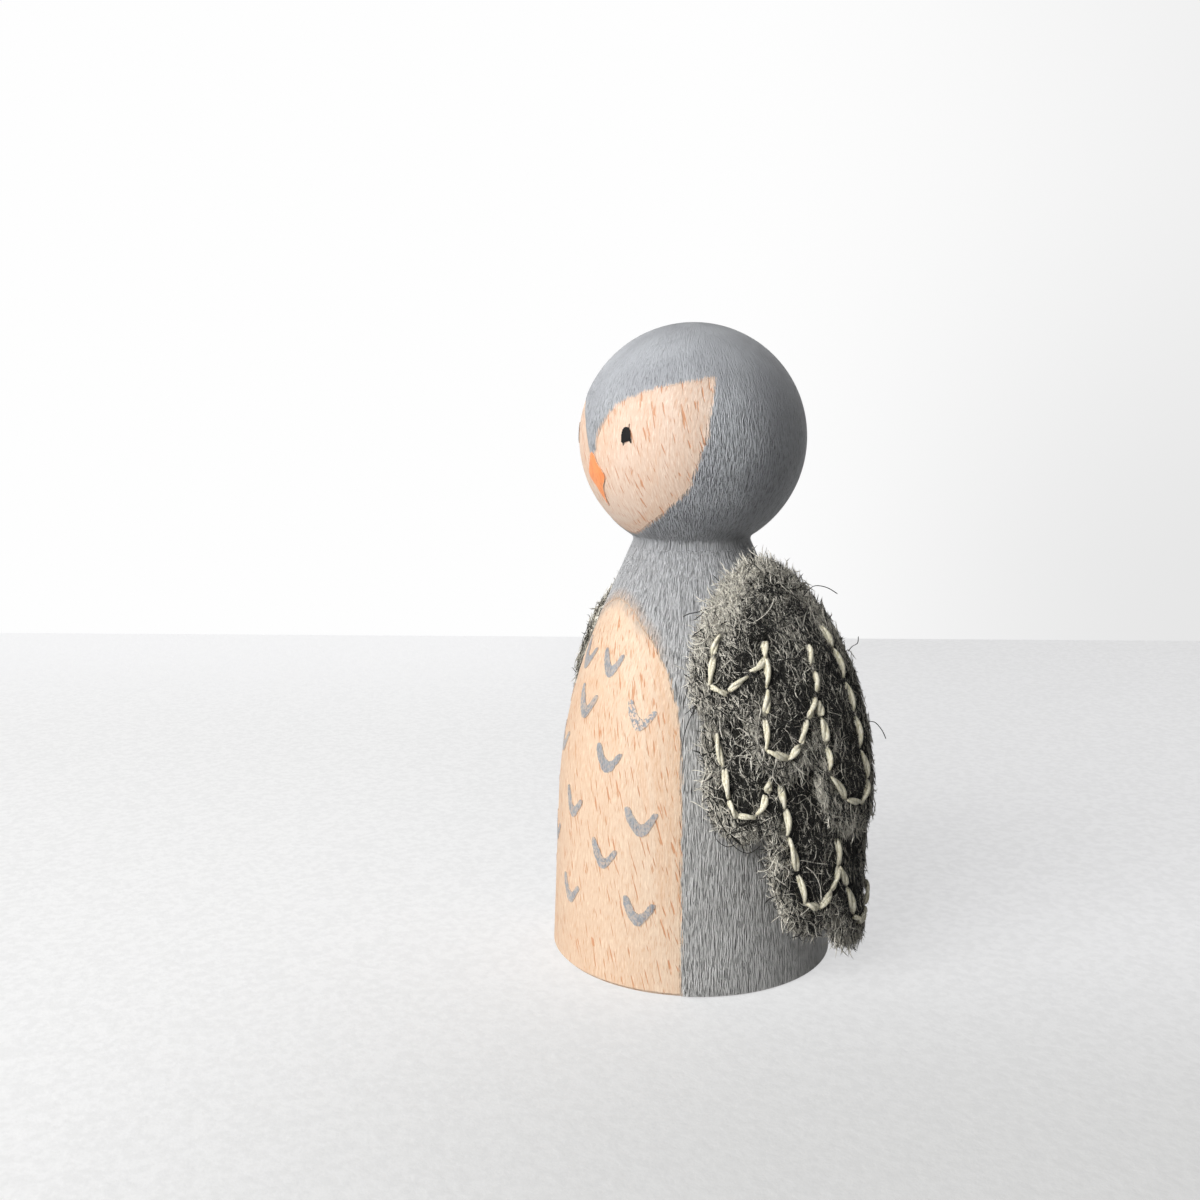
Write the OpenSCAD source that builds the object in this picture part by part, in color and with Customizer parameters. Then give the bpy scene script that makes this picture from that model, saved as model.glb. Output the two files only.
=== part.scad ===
// Peg doll painted as a small grey bird, with two stitched felt wings.
// Sizes are in millimetres and angles in degrees.
// The doll stands on z = 0 with its axis on Z. It looks along -Y, and its own left wing is at +X.
// A turn is measured about the axis from the front, growing towards the doll's left.

/* [Turned peg] */
// Diameter of the foot
foot_d = 29.4; // [26:0.2:34]
// Height at which the lower taper and the shoulder taper would meet
shoulder_h = 26.1; // [24:0.1:30]
// Lean of the lower body from upright
skirt_taper = 2.5; // [1:0.5:4]
// Lean of the shoulders from upright
shoulder_taper = 24; // [22:1:27]
// Radius that blends the lower taper into the shoulders
belly_blend = 52; // [36:1:60]
// Diameter of the neck crease
neck_d = 11.6; // [9:0.2:14]
// Diameter of the ball head
head_d = 23; // [20:0.5:27]
// Hollow radius left by the tool in the neck crease
neck_fillet = 0.6; // [0.4:0.1:1.2]
// Bevel round the foot
foot_bevel = 0.35; // [0.2:0.05:0.8]

/* [Paint] */
// Thickness of the brushed paint
coat_t = 0.12; // [0.08:0.01:0.2]
// Bare wood left under the paint at the foot
coat_foot_gap = 0.4; // [0.4:0.1:1.5]
// Width of the bare breast at the foot
breast_w = 23.4; // [18:0.2:25]
// From the neck crease down to the top of the bare breast
breast_drop = 5.7; // [3.6:0.1:9]
// Radius of the long side arcs of the bare breast
breast_side_arc = 38; // [34:1:60]
// Width of the beak
beak_w = 2.9; // [2:0.1:4]
// Height of the beak
beak_h = 5.2; // [3.5:0.1:6]
// Width of an eye
eye_w = 0.85; // [0.6:0.05:1.4]
// Height of an eye
eye_h = 1.4; // [1.4:0.05:2.2]
// Turn of each eye from the front
eye_turn = 25; // [20:1:32]
// Width of a breast tick
tick_w = 3.5; // [2.4:0.1:4]
// Height of a breast tick
tick_h = 2.4; // [1.6:0.1:2.8]
// Width of the brush stroke of a tick
tick_stroke = 0.85; // [0.5:0.05:1]

/* [Felt wings] */
// Thickness of each felt layer
felt_t = 1.2; // [0.8:0.1:1.6]
// Room for paint and glue between the wood and the felt at the front edge of a wing
felt_seat = 0.15; // [0.15:0.05:0.4]
// Clearance between the two felt layers
layer_gap = 0.1; // [0.05:0.05:0.3]
// How far the felt stands off the peg at the rear edge
wing_standoff = 3; // [1.5:0.25:4]
// Turn of the wing's middle from the front
wing_turn = 84.5; // [80:0.5:92]
// How far the right wing is set back round the body from the left wing's mirror image
right_wing_back = 9; // [0:1:12]
// How far the right wing is set down from the left wing's mirror image
right_wing_drop = 2.4; // [0:0.2:2.6]
// Width of the wing where its feathers start
crown_w = 18; // [16:0.2:20]
// Height of the wing's top above the start of its feathers
crown_rise = 10.2; // [8:0.2:11]
// Height at which the feathers start
crown_h = 31.4; // [29:0.2:32]
// Width of a short upper feather
covert_w = 6.9; // [6:0.1:7.6]
// Width of a long lower feather
flight_w = 7.2; // [6:0.1:7.8]

/* [Backstitch] */
// Diameter of the embroidery thread
thread_d = 0.66; // [0.4:0.02:0.8]
// Distance from one stitch to the next
stitch_pitch = 2.7; // [2:0.1:4]
// Space between the ends of two stitches
stitch_gap = 0.3; // [0.2:0.05:0.6]
// Distance from the edge of a feather to its stitches
stitch_inset = 1.5; // [1.2:0.1:2]

/* [Hidden] */
$fn = 96;

// Overrun of a cutting tool past what it cuts
over = 1;
// Reach of a tool that cuts through one side of the doll
reach = foot_d;

// The body's outline is two straight tapers, blended by one arc that touches both.
foot_r = foot_d / 2;
blend_corner_r = foot_r - shoulder_h * tan(skirt_taper);
blend_reach = belly_blend * tan((shoulder_taper - skirt_taper) / 2);
blend_x = blend_corner_r + blend_reach * sin(skirt_taper) - belly_blend * cos(skirt_taper);
blend_z = shoulder_h - blend_reach * cos(skirt_taper) - belly_blend * sin(skirt_taper);

// How far past its end on the blend each taper runs on, and how far under the blend that run dips,
// so that the outlines cross and leave no step
blend_lap = 2;
blend_dip = 0.02;

// The head is a ball that meets the shoulder cone at the neck crease.
neck_r = neck_d / 2;
head_r = head_d / 2;
neck_z = shoulder_h + (blend_corner_r - neck_r) / tan(shoulder_taper);
head_z = neck_z + sqrt(head_r * head_r - neck_r * neck_r);
breast_h = neck_z - breast_drop;

// Height where the lower taper ends, on the outline moved out by t
function skirt_top(t) = blend_z + (belly_blend + t) * sin(skirt_taper);
// Height where the shoulder cone starts, on the outline moved out by t
function cone_foot(t) = blend_z + (belly_blend + t) * sin(shoulder_taper);
// Radius of the lower taper at height z, moved out by t
function skirt_radius(z, t) = foot_r - z * tan(skirt_taper) + t / cos(skirt_taper);
// Radius of the shoulder cone at height z, moved out by t
function cone_radius(z, t) = blend_corner_r - (z - shoulder_h) * tan(shoulder_taper) + t / cos(shoulder_taper);
// Radius of the blend at height z, moved out by t
function blend_radius(z, t) = blend_x + sqrt(pow(belly_blend + t, 2) - pow(z - blend_z, 2));
// Radius of the body at height z, on the outline moved out by t
function body_radius(z, t) =
    z < skirt_top(t) ? skirt_radius(z, t)
    : z < cone_foot(t) ? blend_radius(z, t)
    : cone_radius(z, t);

// The fillet's centre lies one fillet radius from the ball and from the shoulder cone.
fillet_out = head_r + neck_fillet;
fillet_off = cone_radius(head_z, 0) * cos(shoulder_taper) + neck_fillet;
fillet_along = sqrt(pow(fillet_out, 2) - pow(fillet_off, 2));
fillet_x = fillet_off * cos(shoulder_taper) + fillet_along * sin(shoulder_taper);
fillet_z = head_z + fillet_off * sin(shoulder_taper) - fillet_along * cos(shoulder_taper);

// The felt follows the body's outline about an axis of its own, which lies behind the peg's.
front_edge_turn = 50;
wing_swing = front_edge_turn + 90;
wing_axis = wing_standoff * [sin(wing_swing), -cos(wing_swing), 0];
flight_inner = felt_seat;
flight_outer = flight_inner + felt_t;
covert_inner = flight_outer + layer_gap;
covert_outer = covert_inner + felt_t;
felt_top = neck_z;
// Each wing's set: degrees back round the body and millimetres down
left_set = [0, 0];
right_set = [right_wing_back, right_wing_drop];
// How far the lower layer is drawn in under the upper one round the crown
crown_tuck = felt_t;
// The wing's top from its front edge to its rear edge, as shares of half its width and of its rise
crown_shares = [
    [-1.00, 0.00],
    [-0.95, 0.16],
    [-0.86, 0.35],
    [-0.74, 0.57],
    [-0.57, 0.78],
    [-0.38, 0.92],
    [-0.24, 0.98],
    [-0.10, 1.00],
    [0.05, 0.95],
    [0.22, 0.87],
    [0.42, 0.75],
    [0.56, 0.63],
    [0.67, 0.51],
    [0.77, 0.39],
    [0.94, 0.16],
    [1.00, 0.00]
];
// How far the feathers' sides run up into the crown
feather_root = felt_t;
// Height of the centre of a feather's round tip
function feather_centre(feather, width) = feather[2] * crown_h + width * feather[1] / 2;
// Place on a feather's stitch line, a run s along it from the top of its front line
function stitch_point(s, half, left) =
    s < left ? [-half, left - s]
    : s < left + PI * half ? let (a = 180 + (s - left) / half * 180 / PI) [half * cos(a), half * sin(a)]
    : [half, s - left - PI * half];
// The same place set on the felt, seen from straight ahead of the feather
function on_felt(p, centre, lean, out) =
    let (x = p[0] * cos(lean) - p[1] * sin(lean), z = centre + p[0] * sin(lean) + p[1] * cos(lean))
    [x, -sqrt(pow(body_radius(z, out), 2) - x * x), z];

// Each feather: turn from the front, width share, tip height as a share of the crown's height, lean
covert_feathers = [
    [58.5, 1.00, 0.890, 2],
    [84.0, 1.03, 0.717, 3],
    [110.0, 1.16, 0.505, 3]
];
flight_feathers = [
    [64.5, 0.98, 0.512, 4],
    [90.5, 1.06, 0.180, 5],
    [117.0, 1.04, 0.105, 4]
];
// Where each feather's two lines of stitches start, as shares of the crown's height
covert_start_shares = [[1.13, 0.98], [1.11, 1.09], [0.93, 1.13]];
flight_start_shares = [[0.82, 0.68], [0.69, 0.47], [0.38, 0.30]];

// Seat of a stitch above the felt
thread_seat = 0.06;
// Radius of a stitch where it dips into the felt, as a share of the thread's
stitch_end_share = 0.45;
// Length over which a stitch swells, as a share of its pitch
stitch_swell_share = 0.28;

// Band of glue behind the front edge of a wing
glue_turn = 61;
glue_w = covert_w / 2;
glue_low = 0.66 * crown_h;
glue_high = 1.04 * crown_h;

// Rows of ticks on the breast: height, then the turns of the ticks in that row
tick_rows = [
    [0.800, [-13, 13]],
    [0.683, [-34.5, 0, 34.5]],
    [0.563, [-20.5, 20.5]],
    [0.415, [-38, 0, 38]],
    [0.310, [-20.5, 20.5]],
    [0.177, [-37, 0, 37]]
];
// Width of a tick's stroke at its tips and at its root, as shares of the stroke
tick_end_share = 0.6;
tick_root_share = 1.3;

// The bare breast's sides are upright up to this share of its height
breast_spring_share = 0.42;
// How far the side arcs stop short of the top arc, and how far that then runs in under them
arch_lap = 0.4;

// Places on the face, as shares of the head's radius from its centre
beak_top_share = -0.085;
eye_height_share = 0.054;
// Where the beak is widest, as a share of its height
beak_wide_share = 0.42;

// One side of the bare face from the brow's peak to the chin, as shares of the head's radius
face_shares = [
    [0.00, -0.10],
    [0.05, -0.04],
    [0.09, 0.05],
    [0.14, 0.15],
    [0.21, 0.26],
    [0.31, 0.33],
    [0.45, 0.40],
    [0.62, 0.46],
    [0.79, 0.51],
    [0.82, 0.49],
    [0.89, 0.28],
    [0.91, 0.08],
    [0.89, -0.10],
    [0.83, -0.27],
    [0.73, -0.43],
    [0.58, -0.57],
    [0.38, -0.71],
    [0.19, -0.79],
    [0.00, -0.83]
];

// Colours of the finishes
beech = "#f0cfae";
slate = "#8f969a";
orange = "#ee8a4c";
ink = "#1c1b1a";
dark_felt = "#5b5c58";
light_felt = "#6a6b66";
cream_thread = "#ded9bd";
clear_glue = "#e4e0d2";

// Half the outline of the bell-shaped body between two heights, moved out by t
module bell_section(t, low, top) {
    skirt_end = skirt_top(t) - blend_lap;
    skirt_run = skirt_top(t) + blend_lap;
    cone_run = cone_foot(t) - blend_lap;
    cone_end = cone_foot(t) + blend_lap;
    polygon([
        [0, low],
        [skirt_radius(low, t), low],
        [skirt_radius(skirt_end, t), skirt_end],
        [blend_radius(skirt_run, t) - blend_dip, skirt_run],
        [0, skirt_run]
    ]);
    intersection() {
        translate([blend_x, blend_z]) circle(r = belly_blend + t);
        translate([0, skirt_end]) square([reach, cone_end - skirt_end]);
    }
    polygon([
        [0, cone_run],
        [blend_radius(cone_run, t) - blend_dip, cone_run],
        [cone_radius(cone_end, t), cone_end],
        [cone_radius(top, t), top],
        [0, top]
    ]);
}

// Half the outline of the ball head, moved out by t
module head_section(t) {
    intersection() {
        translate([0, head_z]) circle(r = head_r + t);
        translate([0, head_z - reach]) square([reach, 2 * reach]);
    }
}

// Half the outline of the hollow fillet between the shoulders and the head, moved out by t
module neck_section(t) {
    low_z = fillet_z - neck_fillet * sin(shoulder_taper);
    high_z = fillet_z + (head_z - fillet_z) * neck_fillet / fillet_out;
    difference() {
        polygon([
            [0, low_z],
            [fillet_x - neck_fillet * cos(shoulder_taper), low_z],
            [fillet_x, fillet_z],
            [fillet_x * head_r / fillet_out, high_z],
            [0, high_z]
        ]);
        translate([fillet_x, fillet_z]) circle(r = neck_fillet - t);
    }
}

// Half the outline of the whole turned shape, moved out by t
module peg_section(t) {
    bell_section(t, 0, neck_z);
    neck_section(t);
    head_section(t);
}

// A tool that reaches out from the axis towards the front, with its outline in x and z
module forward_tool() {
    rotate([90, 0, 0]) linear_extrude(height = reach) children();
}

// The bare breast: upright sides, long side arcs and a small top arc that touches them
module breast_outline() {
    half = breast_w / 2;
    spring = breast_spring_share * breast_h;
    rise = breast_h - spring;
    top_arc = (2 * breast_side_arc * half - half * half - rise * rise) / (2 * (breast_side_arc - rise));
    side_x = breast_side_arc - half;
    meet_z = spring + (rise - top_arc) * breast_side_arc / (breast_side_arc - top_arc);
    translate([-half, -over]) square([breast_w, over + spring]);
    intersection() {
        translate([-side_x, spring]) circle(r = breast_side_arc);
        translate([side_x, spring]) circle(r = breast_side_arc);
        translate([-half, spring]) square([breast_w, meet_z - arch_lap - spring]);
    }
    intersection() {
        translate([0, breast_h - top_arc]) circle(r = top_arc);
        translate([-half, meet_z - 2 * arch_lap]) square([breast_w, rise]);
    }
}

// The bare face: two lobes that meet in a peak above the beak
module face_outline() {
    for (side = [-1, 1])
        polygon([for (p = face_shares) [side * p[0] * head_r, head_z + p[1] * head_r]]);
}

// The beak: a diamond, a little longer below its widest point
module beak_outline() {
    translate([0, head_z + beak_top_share * head_r])
        polygon([
            [0, 0],
            [beak_w / 2, -beak_wide_share * beak_h],
            [0, -beak_h],
            [-beak_w / 2, -beak_wide_share * beak_h]
        ]);
}

// One eye: an upright spot with round ends
module eye_outline() {
    straight = eye_h - eye_w;
    translate([0, head_z + eye_height_share * head_r]) {
        for (end = [-1, 1]) translate([0, end * straight / 2]) circle(r = eye_w / 2);
        translate([-eye_w / 2, -straight / 2]) square([eye_w, straight]);
    }
}

// One breast tick: two brush strokes that meet at the bottom, over the origin
module tick_outline() {
    half = tick_w / 2;
    polygon([
        [0, 0],
        [half, tick_h],
        [half - tick_stroke * tick_end_share, tick_h],
        [0, tick_stroke * tick_root_share],
        [-half + tick_stroke * tick_end_share, tick_h],
        [-half, tick_h]
    ]);
}

// A feather: straight sides down to a round tip, leaning back towards the tip
module feather_outline(feather, width) {
    w = width * feather[1];
    translate([0, feather_centre(feather, width)])
        rotate(feather[3]) {
            circle(r = w / 2);
            translate([-w / 2, 0]) square([w, crown_h + feather_root - feather_centre(feather, width)]);
        }
}

// The rounded top of a wing layer, drawn in by inset
module crown_outline(inset) {
    half = crown_w / 2 - inset;
    rise = crown_rise - inset;
    polygon([for (p = crown_shares) [p[0] * half, crown_h + p[1] * rise]]);
}

// One felt layer of a left-hand wing: the crown and middle feather, then the two outer feathers
module felt_layer(inner, outer, feathers, width, inset, set) {
    crown_back = body_radius(crown_h, outer) * sin(wing_turn - feathers[1][0]);
    translate(wing_axis)
        intersection() {
            rotate_extrude()
                difference() {
                    bell_section(outer, 0, felt_top);
                    bell_section(inner, -over, felt_top + over);
                }
            translate([0, 0, -set[1]]) rotate([0, 0, set[0]]) {
                rotate([0, 0, feathers[1][0]])
                    forward_tool() {
                        translate([crown_back, 0]) crown_outline(inset);
                        feather_outline(feathers[1], width);
                    }
                for (i = [0, 2])
                    rotate([0, 0, feathers[i][0]]) forward_tool() feather_outline(feathers[i], width);
            }
        }
}

// Glue between the painted wood and the inner felt of a left-hand wing
module glue_band(set) {
    intersection() {
        translate(wing_axis) rotate_extrude() bell_section(flight_inner, 0, felt_top);
        difference() {
            translate(wing_axis) rotate([0, 0, glue_turn + set[0]]) forward_tool()
                translate([-glue_w / 2, glue_low - set[1]]) square([glue_w, glue_high - glue_low]);
            rotate_extrude() bell_section(coat_t, 0, felt_top);
        }
    }
}

// One stitch: a plump length of thread from a to b
module stitch(a, b) {
    way = b - a;
    length = norm(way);
    swell = stitch_swell_share * length;
    r = thread_d / 2;
    end_r = r * stitch_end_share;
    translate(a)
        rotate([0, acos(way[2] / length), atan2(way[1], way[0])])
            rotate_extrude()
                polygon([[0, 0], [end_r, 0], [r, swell], [r, length - swell], [end_r, length], [0, length]]);
}

// The row of backstitches that follows one feather of a left-hand wing
module feather_stitches(feather, width, starts, outer, set) {
    half = width * feather[1] / 2 - stitch_inset;
    centre = feather_centre(feather, width);
    left = starts[0] * crown_h - centre;
    right = starts[1] * crown_h - centre;
    run = left + PI * half + right;
    count = round(run / stitch_pitch);
    step = run / count;
    lift = outer + thread_d / 2 + thread_seat;
    low = centre - set[1];
    translate(wing_axis)
        rotate([0, 0, feather[0] + set[0]])
            for (i = [0 : count - 1])
                stitch(
                    on_felt(stitch_point(i * step + stitch_gap / 2, half, left), low, feather[3], lift),
                    on_felt(stitch_point((i + 1) * step - stitch_gap / 2, half, left), low, feather[3], lift)
                );
}

// The same on the doll's right
module on_right() {
    mirror([1, 0, 0]) children();
}

module turned_peg() {
    color(beech)
        rotate_extrude()
            difference() {
                peg_section(0);
                polygon([[foot_r - foot_bevel, 0], [foot_r + over, 0], [foot_r + over, foot_bevel], [foot_r, foot_bevel]]);
            }
}

module slate_coat() {
    color(slate)
        difference() {
            rotate_extrude()
                difference() {
                    peg_section(coat_t);
                    peg_section(0);
                    translate([0, -over]) square([reach, over + coat_foot_gap]);
                }
            forward_tool() breast_outline();
            forward_tool() face_outline();
            forward_tool() beak_outline();
        }
}

module beak_paint() {
    color(orange)
        intersection() {
            head_skin();
            forward_tool() beak_outline();
        }
}

module eye_paint() {
    color(ink)
        intersection() {
            head_skin();
            for (side = [-1, 1]) rotate([0, 0, side * eye_turn]) forward_tool() eye_outline();
        }
}

// A coat of paint over the whole head
module head_skin() {
    translate([0, 0, head_z])
        difference() {
            sphere(r = head_r + coat_t);
            sphere(r = head_r);
        }
}

module breast_ticks() {
    color(slate)
        for (row = tick_rows)
            for (turn = row[1])
                intersection() {
                    rotate_extrude()
                        difference() {
                            bell_section(coat_t, 0, neck_z);
                            bell_section(0, -over, neck_z + over);
                        }
                    rotate([0, 0, turn]) forward_tool() translate([0, row[0] * breast_h]) tick_outline();
                }
}

module flight_layer(set) {
    color(dark_felt) felt_layer(flight_inner, flight_outer, flight_feathers, flight_w, crown_tuck, set);
}

module covert_layer(set) {
    color(light_felt) felt_layer(covert_inner, covert_outer, covert_feathers, covert_w, 0, set);
}

module wing_glue(set) {
    color(clear_glue) glue_band(set);
}

module covert_stitches(i, set) {
    color(cream_thread)
        feather_stitches(covert_feathers[i], covert_w, covert_start_shares[i], covert_outer, set);
}

module flight_stitches(i, set) {
    color(cream_thread)
        feather_stitches(flight_feathers[i], flight_w, flight_start_shares[i], flight_outer, set);
}

turned_peg();
slate_coat();
beak_paint();
eye_paint();
breast_ticks();
flight_layer(left_set);  // left_flight_layer
covert_layer(left_set);  // left_covert_layer
wing_glue(left_set);  // left_wing_glue
covert_stitches(0, left_set);  // left_covert_stitch_front
covert_stitches(1, left_set);  // left_covert_stitch_middle
covert_stitches(2, left_set);  // left_covert_stitch_rear
flight_stitches(0, left_set);  // left_flight_stitch_front
flight_stitches(1, left_set);  // left_flight_stitch_middle
flight_stitches(2, left_set);  // left_flight_stitch_rear
on_right() flight_layer(right_set);  // right_flight_layer
on_right() covert_layer(right_set);  // right_covert_layer
on_right() wing_glue(right_set);  // right_wing_glue
on_right() covert_stitches(0, right_set);  // right_covert_stitch_front
on_right() covert_stitches(1, right_set);  // right_covert_stitch_middle
on_right() covert_stitches(2, right_set);  // right_covert_stitch_rear
on_right() flight_stitches(0, right_set);  // right_flight_stitch_front
on_right() flight_stitches(1, right_set);  // right_flight_stitch_middle
on_right() flight_stitches(2, right_set);  // right_flight_stitch_rear
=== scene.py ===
"""A turned beech peg doll painted as a small grey bird, with stitched felt wings.

Lengths are in metres, and the row frame is the doll's own: it stands on z = 0, looks along -Y and has
its left wing at +X. A turn is measured about an upright axis from the front, growing to the doll's left.
"""

import math

import bpy
import numpy as np
from mathutils import Matrix, Vector, noise


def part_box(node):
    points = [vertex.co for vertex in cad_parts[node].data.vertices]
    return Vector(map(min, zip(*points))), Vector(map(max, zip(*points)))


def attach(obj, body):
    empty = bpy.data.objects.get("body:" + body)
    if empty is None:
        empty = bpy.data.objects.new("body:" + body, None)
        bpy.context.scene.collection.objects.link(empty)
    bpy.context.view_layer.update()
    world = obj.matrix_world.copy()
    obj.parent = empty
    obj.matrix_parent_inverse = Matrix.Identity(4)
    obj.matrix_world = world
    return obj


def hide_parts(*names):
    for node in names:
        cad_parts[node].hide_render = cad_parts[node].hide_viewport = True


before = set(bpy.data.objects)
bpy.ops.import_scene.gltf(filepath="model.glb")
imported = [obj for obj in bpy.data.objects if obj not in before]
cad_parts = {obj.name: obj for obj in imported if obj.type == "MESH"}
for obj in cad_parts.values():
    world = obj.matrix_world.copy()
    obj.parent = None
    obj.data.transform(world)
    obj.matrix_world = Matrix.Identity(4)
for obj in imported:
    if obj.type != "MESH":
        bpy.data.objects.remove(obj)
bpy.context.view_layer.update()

MM = 0.001
EDGE_ANGLE = math.radians(35)

# Turned peg, in millimetres: the outline is two tapers, one belly arc and a ball
FOOT_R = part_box("turned_peg")[1].x / MM
DOLL_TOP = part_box("turned_peg")[1].z / MM
SHOULDER_H = 26.1
SKIRT_TAPER = math.radians(2.5)
SHOULDER_TAPER = math.radians(24)
BELLY_BLEND = 52
HEAD_R = 11.5
NECK_FILLET = 0.6
FOOT_BEVEL = 0.35
FOOT_RING = 4
CORNER_R = FOOT_R - SHOULDER_H * math.tan(SKIRT_TAPER)
BLEND_REACH = BELLY_BLEND * math.tan((SHOULDER_TAPER - SKIRT_TAPER) / 2)
BLEND_X = CORNER_R + BLEND_REACH * math.sin(SKIRT_TAPER) - BELLY_BLEND * math.cos(SKIRT_TAPER)
BLEND_Z = SHOULDER_H - BLEND_REACH * math.cos(SKIRT_TAPER) - BELLY_BLEND * math.sin(SKIRT_TAPER)
HEAD_Z = DOLL_TOP - HEAD_R

# Paint, in millimetres and degrees
COAT_T = 0.07
COAT_LEAST = 0.012
FEATHER = 0.3
COAT_FOOT_GAP = 0.12
OUTLINE_STEP = 0.32
FAR_OFF = 9.0
PEG_STEP = 0.45
# Below this height the breast is bare, above it the face; the coat runs thin up the breast's arch
CHEST_TOP = 41
ARCH_FOOT = 31
# The lie of the paint's grain: round a circle of this radius, and stretched below the shoulders
LIE_R = 13
LIE_STRETCH = ((-1, 30, 40, 90), (13.5, 32, 40, 90))
# One side of the bare face: turn and elevation on the ball, from the brow's peak round to the chin
FACE_SIDE = [
    (0, -6.5), (3, -3.5), (4.2, 1.3), (7, 6.5), (11, 12.4), (18, 18.7), (28, 22.6), (36, 25.4),
    (46, 27.6), (56, 29.4), (70, 31.4), (70.6, 29.6), (69.3, 22), (67.5, 12.4), (65.5, 1.2), (63, -5.5),
    (60.4, -14.2), (56.7, -23.3), (46.4, -33.5), (31.8, -43.6), (15, -51.5), (0, -55.5),
]
# One side of the bare breast: turn and height, from the middle of its top down to the foot
BREAST_SIDE = [
    (0, 37.8), (7, 37.6), (19, 36.8), (27, 35.6), (36, 34.4), (42, 32.9), (47, 31.2), (50.5, 29.4),
    (52.8, 27.6), (54.2, 25), (54.8, 20), (55, 12), (55, 4), (55, -1),
]
# Rows of breast ticks: height of the foot of the tick, then the turns of the ticks in that row
TICK_ROWS = [
    (30.3, (-13, 13)),
    (25.8, (-34.5, 0, 34.5)),
    (21.3, (-20.5, 20.5)),
    (15.7, (-38, 0, 38)),
    (11.7, (-20.5, 20.5)),
    (6.7, (-37, 0, 37)),
]
TICK_W = 3.5
TICK_H = 2.4
DRY_TICK = (25.8, 34.5)
BEAK_SIDE = [
    (0, -5.2), (2.6, -7.4), (3.6, -10.5), (7.6, -15.5), (7.2, -19), (4.2, -22), (1.6, -28), (0, -33.5),
]
EYE_TURN = 25.2
EYE_ELEVATION = 3.1
EYE_W = 1.12
EYE_H = 1.55
EYE_SPOT = [
    (-1.0, -0.85), (-1.0, 0.1), (-0.85, 0.62), (-0.5, 0.95), (0.0, 1.05), (0.42, 0.95), (0.55, 1.7),
    (0.66, 0.85), (0.95, 0.3), (1.02, -0.3), (1.15, -0.9), (0.9, -1.0), (0.72, -0.72), (0.2, -0.8),
    (-0.4, -0.95), (-0.6, -1.3), (-0.75, -0.95),
]

# Felt wings, in millimetres and degrees. A wing curves about an axis of its own, behind the peg's
WING_STANDOFF = 3.0
WING_SWING = math.radians(140)
# Each wing's set, by side, 1 on the left and -1 on the right: degrees back and millimetres down
WING_SET = {1: (0, 0), -1: (9, -2.4)}
FELT_T = 1.2
FELT_SEAT = 0.15
LAYER_GAP = 0.1
# Outlines of the two layers in turn and height about the wing's own axis, from the crown's peak
COVERT_OUTLINE = [
    (79, 41.8), (65, 40.8), (57, 39.3), (50.5, 37.2), (47, 35), (45.5, 32.6), (46, 30.2), (49.5, 28.4),
    (57, 27.7), (64, 28.1), (67.2, 28.9), (67.6, 26), (70.5, 23.7), (78, 22.4), (87, 22.7), (92.6, 24.3),
    (93.6, 21), (97, 18.1), (106, 16.1), (116, 15.7), (122, 17), (127, 20), (129.5, 24), (129.5, 28),
    (127.5, 31.5), (123, 34), (118, 36), (112, 38.1), (104, 40), (93, 41.3),
]
FLIGHT_OUTLINE = [
    (75, 39), (62, 37), (53, 33), (51, 29), (51, 25.7), (52, 21.5), (54, 18.4), (59, 16.8), (65, 16),
    (71, 16.3), (74, 17.4), (76, 12.4), (79, 9.3), (83.5, 7.2), (90, 6.1), (97, 6.2), (100.6, 7.4),
    (105, 4.5), (114, 3.4), (123, 3.3), (129.5, 4.8), (131.5, 9), (131, 16), (129, 24), (124, 31),
    (112, 36), (96, 39),
]
# Needle holes of the backstitch rows in turn and height about the wing's own axis
STITCH_ROWS = {
    "covert_stitch_front": [[
        (57, 35.6), (54.5, 33.6), (53.3, 30.9), (60, 30.2), (68.5, 32), (75.3, 33.3),
    ]],
    "covert_stitch_middle": [[
        (77, 35), (75.4, 33.3), (75.4, 30.6), (73.3, 28), (73, 25.1), (81, 24), (86, 25.1), (90.3, 27.5),
        (96, 29.5),
    ], [(97, 34.2), (97, 31.9), (96.6, 29.5)]],
    "covert_stitch_rear": [[
        (96.6, 29.3), (96.7, 27.3), (97, 24.7), (98, 22.1), (104, 19.2), (113, 18.2), (119.8, 20.2),
        (117.4, 23.5), (116, 27), (115.6, 30.2), (112.5, 33.5), (109, 35.8),
    ]],
    "flight_stitch_front": [[
        (56, 26.5), (59, 23.3), (60.6, 20.2), (63.5, 18.5), (70.5, 18.6), (74, 20.7), (76.5, 21.8),
    ]],
    "flight_stitch_middle": [[
        (80, 21.7), (81, 19.1), (82.5, 16.4), (86, 12.6), (89, 9.6), (95, 8.6), (102, 10), (106, 12.2),
        (105, 15.3),
    ]],
    "flight_stitch_rear": [[
        (106, 12.6), (110.5, 9.7), (115, 6.3), (121.5, 5.1), (127.5, 6.1), (131, 8.6),
    ]],
}
THREAD_D = 0.66
PLY_R = 0.31 * THREAD_D
PLY_APART = 0.15
STITCH_PULL = 0.24
STITCH_REACH = 0.75
STITCH_STATIONS = 12
HAIR_RADIUS = 0.045
FELT_EDGE = 0.65
FELT_STEP = 0.28
# Room round a layer's outline in turn and height, and how it measures when it is laid out flat
FELT_ROOM = np.array([1.5, 0.4])
FLAT_R = 14
FLAT_RISE = 1.04
FELT_SEED = {1: 3, -1: 8}
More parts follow.
